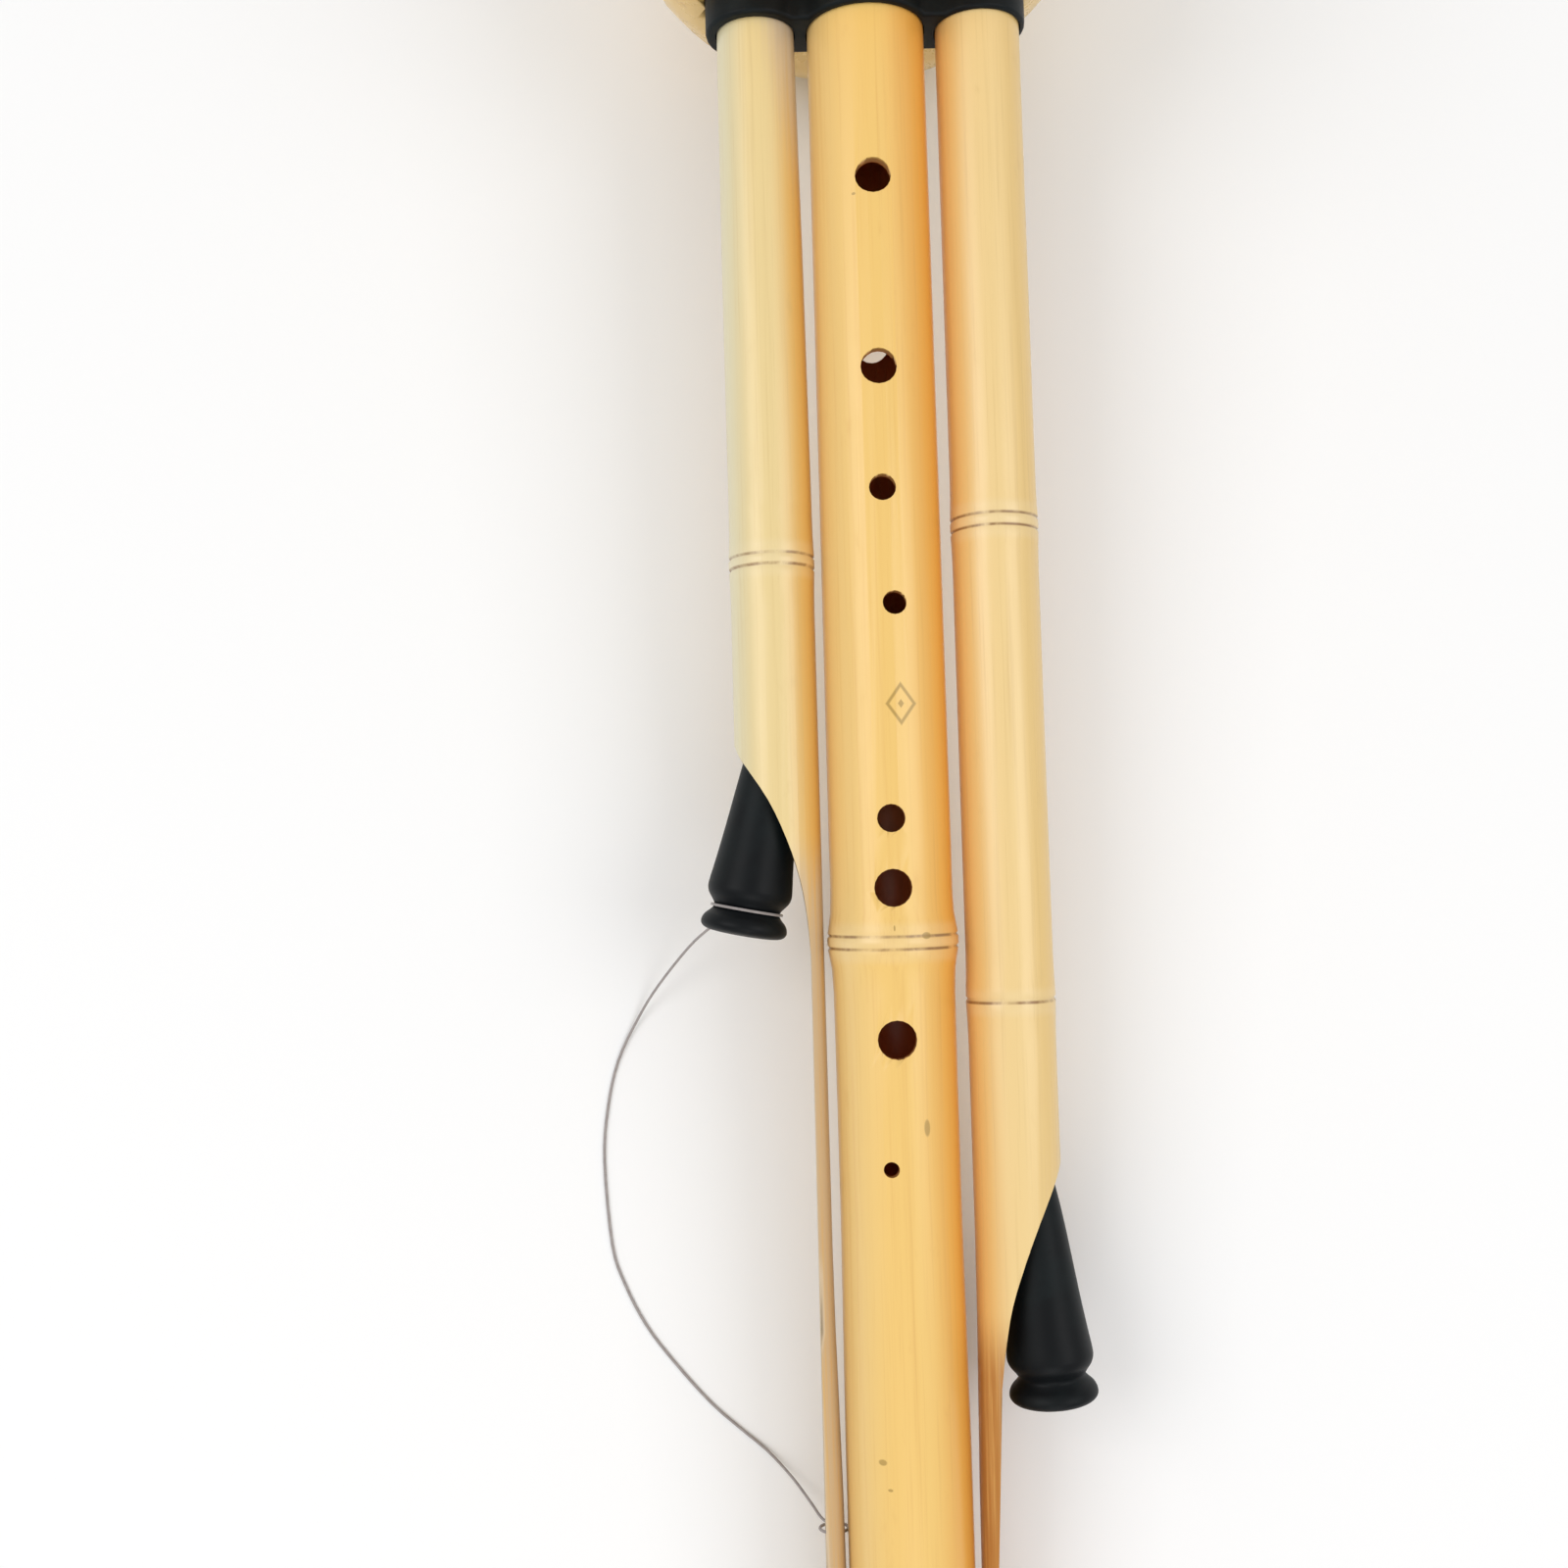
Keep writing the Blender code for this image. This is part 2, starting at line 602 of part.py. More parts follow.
scoop(
    left_drone,
    "left_scoop",
    LEFT_X,
    1,
    LEFT_RADIUS,
    LEFT_SCOOP_DEPTH,
    LEFT_TONGUE_CUT,
    LEFT_TONGUE_END_CUT,
    (-0.97, -0.27, 0.22, 0.56, 0.74),
)
scoop(
    right_drone,
    "right_scoop",
    RIGHT_X,
    -1,
    RIGHT_RADIUS,
    RIGHT_SCOOP_DEPTH,
    RIGHT_TONGUE_CUT,
    RIGHT_TONGUE_END_CUT,
    (-0.97, -0.43, 0.02, 0.38, 0.58),
)

# Reed ends: a flat and a window in each pipe, a reed with its tongue cut free, a wax frame and a plug


def reed_end(pipe, prefix, x, radius, wall, top, reed_length):
    flat = -(radius - wall * REED_FLAT_SHARE)
    half_flat = math.sqrt(radius**2 - flat**2)
    half_reed = half_flat - REED_SIDE_MARGIN
    high = top - REED_TOP_MARGIN
    low = high - reed_length
    front = flat - FIT_GAP

    frame_half = half_reed + FIT_GAP + REED_WAX_WIDTH
    frame_low = low - FIT_GAP - REED_WAX_WIDTH
    frame_high = high + FIT_GAP + REED_WAX_WIDTH
    outside = -radius - CUT_MARGIN
    flat_low = (x - radius, outside, frame_low - FIT_GAP)
    boolean(pipe, box_tool(prefix + "_flat", flat_low, (x + radius, flat, frame_high + FIT_GAP)))

    half_window = half_reed - REED_BORDER
    window_low = (x - half_window, outside, low + REED_BORDER)
    boolean(pipe, box_tool(prefix + "_window", window_low, (x + half_window, 0, high - REED_BORDER)))

    plate = bmesh.new()
    add_box(plate, (x - half_reed, front - REED_THICKNESS, low), (x + half_reed, front, high))
    reed = placed(prefix + "_reed", plate, BRONZE)
    root = low + REED_BORDER * 2
    tip = high - REED_BORDER
    tongue = (
        (x - half_window, root),
        (x, tip),
        (x + half_window, root),
        (x + half_window - REED_KERF, root),
        (x, tip - REED_KERF * (tip - root) / half_window),
        (x - half_window + REED_KERF, root),
    )
    slit = slab(tongue, front - REED_THICKNESS - CUT_MARGIN / 2, front + CUT_MARGIN / 2)
    boolean(reed, placed(prefix + "_reed_slit", slit, None))

    wax = bmesh.new()
    add_box(wax, (x - frame_half, front - REED_WAX_HEIGHT, frame_low), (x + frame_half, front, frame_high))
    frame = placed(prefix + "_reed_wax", wax, WAX)
    inside_half = half_reed + FIT_GAP
    inside_low = (x - inside_half, front - CUT_MARGIN, low - FIT_GAP)
    inside_high = (x + inside_half, front + CUT_MARGIN, high + FIT_GAP)
    boolean(frame, box_tool(prefix + "_reed_wax_inside", inside_low, inside_high))

    plug = bmesh.new()
    add_rod(plug, (x, 0, top - PLUG_LENGTH), (x, 0, top), radius - wall - FIT_GAP)
    placed(prefix + "_end_plug", plug, CORK)


reed_end(melody_pipe, "melody", 0.0, MELODY_RADIUS, MELODY_WALL, MELODY_REED_END, MELODY_REED_LENGTH)
reed_end(left_drone, "left", LEFT_SOCKET_X, LEFT_SOCKET_RADIUS, DRONE_WALL, LEFT_REED_END, DRONE_REED_LENGTH)
reed_end(right_drone, "right", RIGHT_X, RIGHT_RADIUS, DRONE_WALL, RIGHT_REED_END, DRONE_REED_LENGTH)

# Stoppers: turned tapers with a tie groove and a flange, each with its origin at its tip

shoulder = min(LEFT_RADIUS, RIGHT_RADIUS) - DRONE_WALL + STOPPER_WEDGE
flange = shoulder + STOPPER_FLANGE_STEP
groove = shoulder - STOPPER_GROOVE_DEPTH
TAPER = ((0.0, 0.0), (0.020, 0.33), (0.085, 0.52), (0.187, 0.61), (0.33, 0.705), (0.56, 0.84), (0.70, 0.92))
GROOVE_PLACE = 0.889
KNOB = ((0.787, shoulder), (0.83, shoulder * 0.985), (0.86, shoulder * 0.90), (GROOVE_PLACE, groove))
RIM = ((0.925, flange * 0.95), (0.955, flange), (0.98, flange * 0.96), (0.994, flange * 0.6), (1.0, 0.0))
stopper_outline = [(shoulder * share, -STOPPER_LENGTH * place) for place, share in TAPER]
stopper_outline += [(radius, -STOPPER_LENGTH * place) for place, radius in KNOB + RIM]


def stopper(name, drone_x, inwards, entry, insertion, step, tilt):
    tip = (drone_x + inwards * step, 0, insertion - entry)
    return placed(name, turned(stopper_outline, STOPPER_SIDES), BLACK, tip, inwards * tilt)


left_stopper = stopper(
    "left_stopper",
    LEFT_X,
    1,
    LEFT_SCOOP_DEPTH,
    LEFT_STOPPER_INSERTION,
    LEFT_STOPPER_STEP,
    LEFT_STOPPER_TILT,
)
right_stopper = stopper(
    "right_stopper",
    RIGHT_X,
    -1,
    RIGHT_SCOOP_DEPTH,
    RIGHT_STOPPER_INSERTION,
    RIGHT_STOPPER_STEP,
    RIGHT_STOPPER_TILT,
)

# Tether: a loop in the left stopper's groove, a cord on the floor, and a loop through the left tongue


def cord_ring(radius, width_share=1.0):
    """A closed ring of cord, made wider by a share where it isn't round."""
    outline = []
    for side in range(CORD_SIDES):
        angle = 2 * math.pi * side / CORD_SIDES
        outline.append((radius + CORD_RADIUS * math.cos(angle), CORD_RADIUS * math.sin(angle)))
    ring = turned(outline, STOPPER_SIDES)
    bmesh.ops.scale(ring, vec=(width_share, 1, 1), verts=ring.verts)
    return ring


def knot_tool(name, location, parent):
    mesh = bmesh.new()
    bmesh.ops.create_icosphere(mesh, subdivisions=2, radius=KNOT_RADIUS)
    return placed(name, mesh, None, location, 0.0, parent)


loop_radius = groove + CORD_RADIUS + FIT_GAP
groove_height = -STOPPER_LENGTH * GROOVE_PLACE
tether_loop = placed("tether_loop", cord_ring(loop_radius), CORD, (0, 0, groove_height), 0.0, left_stopper)
loop_knot = knot_tool("tether_loop_knot", (0, loop_radius + KNOT_RADIUS, groove_height), left_stopper)
boolean(tether_loop, loop_knot, "UNION")

tie_x = LEFT_X + TONGUE_LEAN + LEFT_RADIUS - TIE_LOOP_HALF_WIDTH / 1.4
tie_y = TIE_HOLE_BACK + TIE_LOOP_HALF_HEIGHT
hole_start = (LEFT_X, TIE_HOLE_BACK, -TIE_DEPTH)
tie_hole = rod_tool("tie_hole", hole_start, (-MELODY_RADIUS, TIE_HOLE_BACK, -TIE_DEPTH), TIE_HOLE_RADIUS)
boolean(left_drone, tie_hole)
tie_ring = cord_ring(TIE_LOOP_HALF_HEIGHT, TIE_LOOP_HALF_WIDTH / TIE_LOOP_HALF_HEIGHT)
tether_tie = placed("tether_tie", tie_ring, CORD, (tie_x, tie_y, -TIE_DEPTH))
tie_end = (tie_x, tie_y + TIE_LOOP_HALF_HEIGHT + KNOT_RADIUS / 2, -TIE_DEPTH)
tie_knot = knot_tool("tether_tie_knot", tie_end, instrument)
boolean(tether_tie, tie_knot, "UNION")

# Laying the instrument on its back: the gourd's belly and the melody pipe's end touch the floor


def lowest(outline, sides, tilt):
    """How far a turned piece reaches below the instrument's axis level at a tilt."""
    flat_share = math.cos(math.pi / sides)
    return min(height * math.sin(tilt) - radius * flat_share * math.cos(tilt) for radius, height in outline)


low_tilt = 0.0
high_tilt = math.radians(20)
for _ in range(40):
    tilt = (low_tilt + high_tilt) / 2
    if lowest(melody_outline, MELODY_SIDES, tilt) > lowest(gourd_skin, GOURD_SIDES, tilt):
        low_tilt = tilt
    else:
        high_tilt = tilt
front_end = -MELODY_LENGTH * math.cos(tilt) - (MELODY_RADIUS + END_CHAMFER) * math.sin(tilt)
back_end = mouth_top * math.cos(tilt) + MOUTHPIECE_TIP_RADIUS * math.sin(tilt)
instrument.rotation_euler = (tilt - math.pi / 2, 0, 0)
instrument.location = (-GOURD_STEP, -(front_end + back_end) / 2, -lowest(gourd_skin, GOURD_SIDES, tilt))

# Tether cord: from the loop's knot, out along the floor and back to the knot under the left tongue

CORD_LIFT = CORD_RADIUS * 1.2
CORD_ROUTE = (
    (-0.0302, -0.1073, 0.0213),
    (-0.0320, -0.1080, 0.0196),
    (-0.0345, -0.1090, 0.0180),
    (-0.0371, -0.1103, 0.0160),
    (-0.0419, -0.1138, 0.0095),
    (-0.0489, -0.1215, 0.0040),
    (-0.0536, -0.1283, 0.0012),
    (-0.0583, -0.1377, CORD_LIFT),
    (-0.0607, -0.1480, CORD_LIFT),
    (-0.0615, -0.1592, CORD_LIFT),
    (-0.0600, -0.1766, CORD_LIFT),
    (-0.0573, -0.1850, CORD_LIFT),
    (-0.0528, -0.1936, CORD_LIFT),
    (-0.0468, -0.2014, CORD_LIFT),
    (-0.0395, -0.2095, CORD_LIFT),
    (-0.0332, -0.2150, CORD_LIFT * 1.1),
    (-0.0277, -0.2195, 0.0007),
    (-0.0227, -0.2245, 0.0022),
    (-0.0188, -0.2289, 0.0055),
    (-0.0170, -0.2310, 0.0076),
    (-0.0155, -0.2319, 0.0089),
)
strand = bpy.data.curves.new("tether_cord", "CURVE")
strand.dimensions = "3D"
strand.bevel_depth = CORD_RADIUS
strand.bevel_resolution = 2
strand.use_fill_caps = True
strand.materials.append(finish_material("tether_cord", *CORD))
route = smooth(CORD_ROUTE, CORD_STEPS)
line = strand.splines.new("POLY")
line.points.add(len(route) - 1)
for point, place in zip(line.points, route):
    point.co = (*place, 1.0)
tether_cord = bpy.data.objects.new("tether_cord", strand)
bpy.context.scene.collection.objects.link(tether_cord)
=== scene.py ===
"""A hulusi, the gourd flute, lying on its back on a pale studio floor and seen from above."""

import json
import math

import bmesh
import bpy
from mathutils import Matrix, Vector


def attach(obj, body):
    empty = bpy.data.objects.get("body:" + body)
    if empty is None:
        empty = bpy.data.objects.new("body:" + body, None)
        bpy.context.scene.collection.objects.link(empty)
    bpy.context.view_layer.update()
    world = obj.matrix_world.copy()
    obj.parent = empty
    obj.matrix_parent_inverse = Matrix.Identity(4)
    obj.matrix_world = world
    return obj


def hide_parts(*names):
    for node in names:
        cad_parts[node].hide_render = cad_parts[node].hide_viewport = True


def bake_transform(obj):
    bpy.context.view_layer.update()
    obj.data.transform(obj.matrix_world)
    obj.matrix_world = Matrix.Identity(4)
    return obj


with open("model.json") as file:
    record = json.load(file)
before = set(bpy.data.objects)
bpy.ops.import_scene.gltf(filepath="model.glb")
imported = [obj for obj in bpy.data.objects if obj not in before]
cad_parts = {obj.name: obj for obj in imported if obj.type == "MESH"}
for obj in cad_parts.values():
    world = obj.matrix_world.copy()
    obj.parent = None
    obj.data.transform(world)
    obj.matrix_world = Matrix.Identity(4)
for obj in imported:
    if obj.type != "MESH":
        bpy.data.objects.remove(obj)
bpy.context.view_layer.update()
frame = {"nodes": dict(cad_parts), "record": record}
nodes = frame["nodes"]
bodies = frame["record"]["behaviour"]["bodies"]
body_names = {node: body for body, group in bodies.items() for node in group}
scene = bpy.context.scene
scene.view_settings.view_transform = "Standard"

# Camera: it looks down on the pipes from above the stoppers, turned a little so that the pipes
# lean across the picture, and crops the gourd and the pipes' lower ends.

CAMERA_PLACE = (-0.02042, -0.13233, 0.35897)
CAMERA_RIGHT = (0.99963, -0.02674, -0.00410)
CAMERA_UP = (0.02705, 0.98811, 0.15138)
LENS_TO_SENSOR = 1650 / 1600

camera_data = bpy.data.cameras.new("camera")
camera_data.sensor_width = 36
camera_data.lens = camera_data.sensor_width * LENS_TO_SENSOR
camera_data.clip_start = 0.01
camera = bpy.data.objects.new("camera", camera_data)
scene.collection.objects.link(camera)
right = Vector(CAMERA_RIGHT).normalized()
back = right.cross(Vector(CAMERA_UP)).normalized()
up = back.cross(right)
turn = Matrix((right, up, back)).transposed().to_4x4()
camera.matrix_world = Matrix.Translation(CAMERA_PLACE) @ turn
scene.camera = camera

# Tether: thin grey cord, knotted to the left stopper's groove and through the left drone's tongue.
# It keeps the stopper with the instrument while it is out, and lies in one loose bow on the floor.

CORD_RADIUS = 0.0003
CORD_LIFT = CORD_RADIUS * 1.2
CORD_ROUTE = (
    (-0.0302, -0.1073, 0.0213),
    (-0.0320, -0.1080, 0.0196),
    (-0.0345, -0.1090, 0.0180),
    (-0.0371, -0.1103, 0.0160),
    (-0.0419, -0.1138, 0.0095),
    (-0.0489, -0.1215, 0.0040),
    (-0.0536, -0.1283, 0.0012),
    (-0.0583, -0.1377, CORD_LIFT),
    (-0.0607, -0.1480, CORD_LIFT),
    (-0.0615, -0.1592, CORD_LIFT),
    (-0.0600, -0.1766, CORD_LIFT),
    (-0.0573, -0.1850, CORD_LIFT),
    (-0.0528, -0.1936, CORD_LIFT),
    (-0.0468, -0.2014, CORD_LIFT),
    (-0.0395, -0.2095, CORD_LIFT),
    (-0.0332, -0.2150, CORD_LIFT * 1.1),
    (-0.0277, -0.2195, 0.0007),
    (-0.0227, -0.2245, 0.0022),
    (-0.0188, -0.2289, 0.0055),
    (-0.0170, -0.2310, 0.0076),
    (-0.0155, -0.2319, 0.0089),
)
CORD_STEPS = 4
CORD_SIDES = 8
CORD_GREY = (0.42, 0.38, 0.37, 1.0)
CORD_SHADOW = (0.24, 0.21, 0.20, 1.0)


def new_material(name):
    """An empty node material with its shader."""
    material = bpy.data.materials.new(name)
    material.use_nodes = True
    return material, material.node_tree, material.node_tree.nodes["Principled BSDF"]


def add_node(tree, kind, values=(), **settings):
    """A node with its settings and the values of its unlinked inputs."""
    node = tree.nodes.new(kind)
    for name, value in settings.items():
        setattr(node, name, value)
    for socket, value in dict(values).items():
        node.inputs[socket].default_value = value
    return node


def bumped(tree, shader, height, strength, distance):
    """Roughens a shader's surface by a height."""
    bump = add_node(tree, "ShaderNodeBump", {"Strength": strength, "Distance": distance})
    tree.links.new(height, bump.inputs["Height"])
    tree.links.new(bump.outputs["Normal"], shader.inputs["Normal"])


def smooth_route(points, steps):
    """The points of a smooth curve that passes through the given ones."""
    points = [Vector(point) for point in points]
    last = len(points) - 1
    curve = []
    for index in range(last):
        before = points[max(index - 1, 0)]
        start = points[index]
        end = points[index + 1]
        after = points[min(index + 2, last)]
        for step in range(steps):
            share = step / steps
            rise = (end - before) * share
            bend = (2 * before - 5 * start + 4 * end - after) * share**2
            swing = (3 * start - before - 3 * end + after) * share**3
            curve.append(start + (rise + bend + swing) / 2)
    curve.append(points[last])
    return curve


def tube(name, route, radius, sides, material):
    """A round mesh tube along a route, with closed ends."""
    curve = bpy.data.curves.new(name, "CURVE")
    curve.dimensions = "3D"
    curve.bevel_depth = radius
    curve.bevel_resolution = sides // 2 - 1
    curve.use_fill_caps = True
    line = curve.splines.new("POLY")
    line.points.add(len(route) - 1)
    for point, place in zip(line.points, route):
        point.co = (*place, 1.0)
    drawn = bpy.data.objects.new(name + "_line", curve)
    scene.collection.objects.link(drawn)
    bpy.context.view_layer.update()
    solved = drawn.evaluated_get(bpy.context.evaluated_depsgraph_get())
    mesh = bpy.data.meshes.new_from_object(solved)
    bpy.data.objects.remove(drawn)
    mesh.shade_smooth()
    mesh.materials.clear()
    mesh.materials.append(material)
    piece = bpy.data.objects.new(name, mesh)
    scene.collection.objects.link(piece)
    return piece


cord_material, tree, shader = new_material("tether_cord")
place = add_node(tree, "ShaderNodeTexCoord")
strands = add_node(tree, "ShaderNodeTexNoise", {"Scale": 900.0, "Detail": 3.0})
ramp = add_node(tree, "ShaderNodeMix", {"A": CORD_SHADOW, "B": CORD_GREY}, data_type="RGBA")
tree.links.new(place.outputs["Object"], strands.inputs["Vector"])
tree.links.new(strands.outputs["Fac"], ramp.inputs["Factor"])
tree.links.new(ramp.outputs["Result"], shader.inputs["Base Color"])
bumped(tree, shader, strands.outputs["Fac"], 0.25, 0.0001)
shader.inputs["Roughness"].default_value = 0.38

route = smooth_route(CORD_ROUTE, CORD_STEPS)
cord = tube("tether_cord_strand", route, CORD_RADIUS, CORD_SIDES, cord_material)
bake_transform(cord)
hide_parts("tether_cord")
for name in ("tether_loop", "tether_tie"):
    nodes[name].data.materials.clear()
    nodes[name].data.materials.append(cord_material)

# Studio: a white sheet under the instrument, which shows pure white to the camera but keeps a
# soft shadow, and three large soft lamps above it.

FLOOR_HALF_WIDTH = 3.0
FLOOR_WHITE = (0.93, 0.93, 0.93, 1.0)
WORLD_STRENGTH = 0.57
LAMP_SIZE = 0.8
LAMP_AIM = (0, -0.1, 0)
# (name, place, power)
LAMPS = (
    ("lamp_left", (-0.9, 0.1, 1.1), 6.0),
    ("lamp_right", (0.9, -0.1, 1.1), 5.0),
    ("lamp_end", (0.0, -1.2, 0.9), 4.0),
)

floor_mesh = bpy.data.meshes.new("floor")
sheet = bmesh.new()
bmesh.ops.create_grid(sheet, x_segments=1, y_segments=1, size=FLOOR_HALF_WIDTH)
sheet.to_mesh(floor_mesh)
sheet.free()
floor = bpy.data.objects.new("floor", floor_mesh)
scene.collection.objects.link(floor)
floor_material, tree, shader = new_material("floor_white")
shader.inputs["Base Color"].default_value = FLOOR_WHITE
shader.inputs["Roughness"].default_value = 0.9
shader.inputs["Specular IOR Level"].default_value = 0.1
floor_mesh.materials.append(floor_material)


def soft_lamp(name, place, power):
    """A square soft lamp that faces the pipes' middle."""
    lamp_data = bpy.data.lights.new(name, "AREA")
    lamp_data.size = LAMP_SIZE
    lamp_data.energy = power
    lamp = bpy.data.objects.new(name, lamp_data)
    scene.collection.objects.link(lamp)
    lamp.location = place
    lamp.rotation_euler = (Vector(LAMP_AIM) - Vector(place)).to_track_quat("-Z", "Y").to_euler()


for name, place, power in LAMPS:
    soft_lamp(name, place, power)

world = bpy.data.worlds.new("studio")
scene.world = world
world.use_nodes = True
background = world.node_tree.nodes["Background"]
background.inputs["Color"].default_value = (1.0, 1.0, 1.0, 1.0)
background.inputs["Strength"].default_value = WORLD_STRENGTH

# Bamboo pipes: three lengths of bamboo with the skin left on, scraped, oiled and bored. The node
# rings are cut down to grooves, and a pale bloom stays beside them.

SEAT_PLACE = (0.0008, 0.07446, 0.04655)
PIPE_TILT = math.radians(5.2418)
# a depth above the seat, where no pipe shows
NO_GROOVE = -1.0
GROOVE_BROWN = (0.24, 0.10, 0.025, 1.0)
BLOOM = (0.86, 0.74, 0.50, 1.0)
# depths under the skin between which a cut shows the raw bamboo
SKIN_THIN = 0.00045
SKIN_THICK = 0.00090
# distances outside and inside the bore's wall over which its colour sets in
BORE_OUTER = 0.0005
BORE_INNER = 0.0003
# length over which a tongue's worn tint sets in
TONGUE_FADE = 0.015
# vertices closer than this are one
MERGE_DISTANCE = 1e-6


def group_input(tree, name, kind, value=None):
    """An input of a node group, with its default."""
    socket = tree.interface.new_socket(name, in_out="INPUT", socket_type=kind)
    if value is not None:
        socket.default_value = value


def along_pipes(tree):
    """Places measured across, behind and up along the pipes from the seat, whole and split."""
    place = add_node(tree, "ShaderNodeTexCoord")
    turned = add_node(tree, "ShaderNodeMapping", vector_type="TEXTURE")
    turned.inputs["Location"].default_value = SEAT_PLACE
    turned.inputs["Rotation"].default_value = (PIPE_TILT - math.pi / 2, 0, 0)
    apart = add_node(tree, "ShaderNodeSeparateXYZ")
    tree.links.new(place.outputs["Object"], turned.inputs["Vector"])
    tree.links.new(turned.outputs["Vector"], apart.inputs["Vector"])
    return turned.outputs["Vector"], apart.outputs


def math_node(tree, operation, first, second=None, third=None):
    """The output of a maths node whose inputs are numbers or sockets."""
    node = add_node(tree, "ShaderNodeMath", operation=operation)
    for index, value in enumerate((first, second, third)):
        if value is None:
            continue
        if isinstance(value, (int, float)):
            node.inputs[index].default_value = value
        else:
            tree.links.new(value, node.inputs[index])
    return node.outputs[0]


def mixed(tree, factor, first, second):
    """Two colours mixed by a factor."""
    node = add_node(tree, "ShaderNodeMix", data_type="RGBA")
    for socket, value in (("Factor", factor), ("A", first), ("B", second)):
        if isinstance(value, (int, float, tuple)):
            node.inputs[socket].default_value = value
        else:
            tree.links.new(value, node.inputs[socket])
    return node.outputs["Result"]


def tinted(tree, colour, mask, strength, tint):
    """A colour with a tint over it where a mask is high."""
    return mixed(tree, math_node(tree, "MULTIPLY", mask, strength), colour, tint)


def noise(tree, vector, scale, stretch, detail=2.0, roughness=0.5):
    """Noise on stretched coordinates."""
    spread = add_node(tree, "ShaderNodeMapping", {"Scale": stretch})
    tree.links.new(vector, spread.inputs["Vector"])
    values = {"Scale": scale, "Detail": detail, "Roughness": roughness}
    node = add_node(tree, "ShaderNodeTexNoise", values)
    tree.links.new(spread.outputs["Vector"], node.inputs["Vector"])
    return node.outputs["Fac"]


def ramped(tree, value, low, high):
    """A value spread from 0 to 1 between two limits, with soft ends."""
    limits = {"From Min": low, "From Max": high}
    node = add_node(tree, "ShaderNodeMapRange", limits, interpolation_type="SMOOTHSTEP")
    tree.links.new(value, node.inputs["Value"])
    return node.outputs["Result"]


GROOVES = ("First Groove", "Second Groove", "Third Groove")

bamboo = bpy.data.node_groups.new("bamboo_skin", "ShaderNodeTree")
for name in ("Skin", "Right Side", "Left Side", "Fibre"):
    group_input(bamboo, name, "NodeSocketColor")
group_input(bamboo, "Centre", "NodeSocketFloat", 0.0)
group_input(bamboo, "Radius", "NodeSocketFloat", 0.01)
for name in GROOVES:
    group_input(bamboo, name, "NodeSocketFloat", NO_GROOVE)
bamboo.interface.new_socket("Color", in_out="OUTPUT", socket_type="NodeSocketColor")
bamboo.interface.new_socket("Roughness", in_out="OUTPUT", socket_type="NodeSocketFloat")
bamboo.interface.new_socket("Height", in_out="OUTPUT", socket_type="NodeSocketFloat")
inside = add_node(bamboo, "NodeGroupInput")
outside = add_node(bamboo, "NodeGroupOutput")
fibre_tint = inside.outputs["Fibre"]
spot, apart = along_pipes(bamboo)
across = math_node(bamboo, "SUBTRACT", apart["X"], inside.outputs["Centre"])
across = math_node(bamboo, "DIVIDE", across, inside.outputs["Radius"])
depth = math_node(bamboo, "MULTIPLY", apart["Z"], -1.0)

broad = noise(bamboo, spot, 30.0, (1.0, 1.0, 0.15), 3.0)
fibres = noise(bamboo, spot, 1500.0, (1.0, 1.0, 0.012), 4.0, 0.65)
threads = noise(bamboo, spot, 600.0, (1.0, 1.0, 0.02), 3.0, 0.6)
blotches = noise(bamboo, spot, 220.0, (1.0, 1.0, 0.35), 4.0, 0.6)
waver = math_node(bamboo, "MULTIPLY_ADD", broad, 0.5, -0.25)
sway = math_node(bamboo, "ADD", across, waver)
# Painted light and shade: the skin colour turns towards a darker right-side colour as painted shade
# and a paler left-side colour as painted light across the round pipe.
shade_to_right = ramped(bamboo, sway, 0.15, 0.95)
light_to_left = ramped(bamboo, sway, -0.25, -0.95)
colour = mixed(bamboo, shade_to_right, inside.outputs["Skin"], inside.outputs["Right Side"])
colour = mixed(bamboo, light_to_left, colour, inside.outputs["Left Side"])
colour = tinted(bamboo, colour, ramped(bamboo, fibres, 0.50, 0.78), 0.30, fibre_tint)
colour = tinted(bamboo, colour, ramped(bamboo, threads, 0.52, 0.80), 0.25, fibre_tint)
colour = tinted(bamboo, colour, ramped(bamboo, blotches, 0.62, 0.80), 0.22, fibre_tint)

# Each groove wavers round the pipe, breaks where the blotches are faint and has bloom beside it.
unevenness = math_node(bamboo, "MULTIPLY_ADD", broad, 0.0008, -0.0004)
breaks = ramped(bamboo, blotches, 0.28, 0.62)
height = math_node(bamboo, "MULTIPLY", fibres, 0.5)
for name in GROOVES:
    off = math_node(bamboo, "SUBTRACT", depth, inside.outputs[name])
    off = math_node(bamboo, "ABSOLUTE", math_node(bamboo, "ADD", off, unevenness))
    colour = tinted(bamboo, colour, ramped(bamboo, off, 0.0034, 0.0016), 0.14, BLOOM)
    line = math_node(bamboo, "MULTIPLY", ramped(bamboo, off, 0.00045, 0.00010), breaks)
    colour = tinted(bamboo, colour, line, 0.85, GROOVE_BROWN)
    height = math_node(bamboo, "SUBTRACT", height, line)
bamboo.links.new(colour, outside.inputs["Color"])
bamboo.links.new(math_node(bamboo, "MULTIPLY_ADD", blotches, 0.22, 0.24), outside.inputs["Roughness"])
bamboo.links.new(height, outside.inputs["Height"])


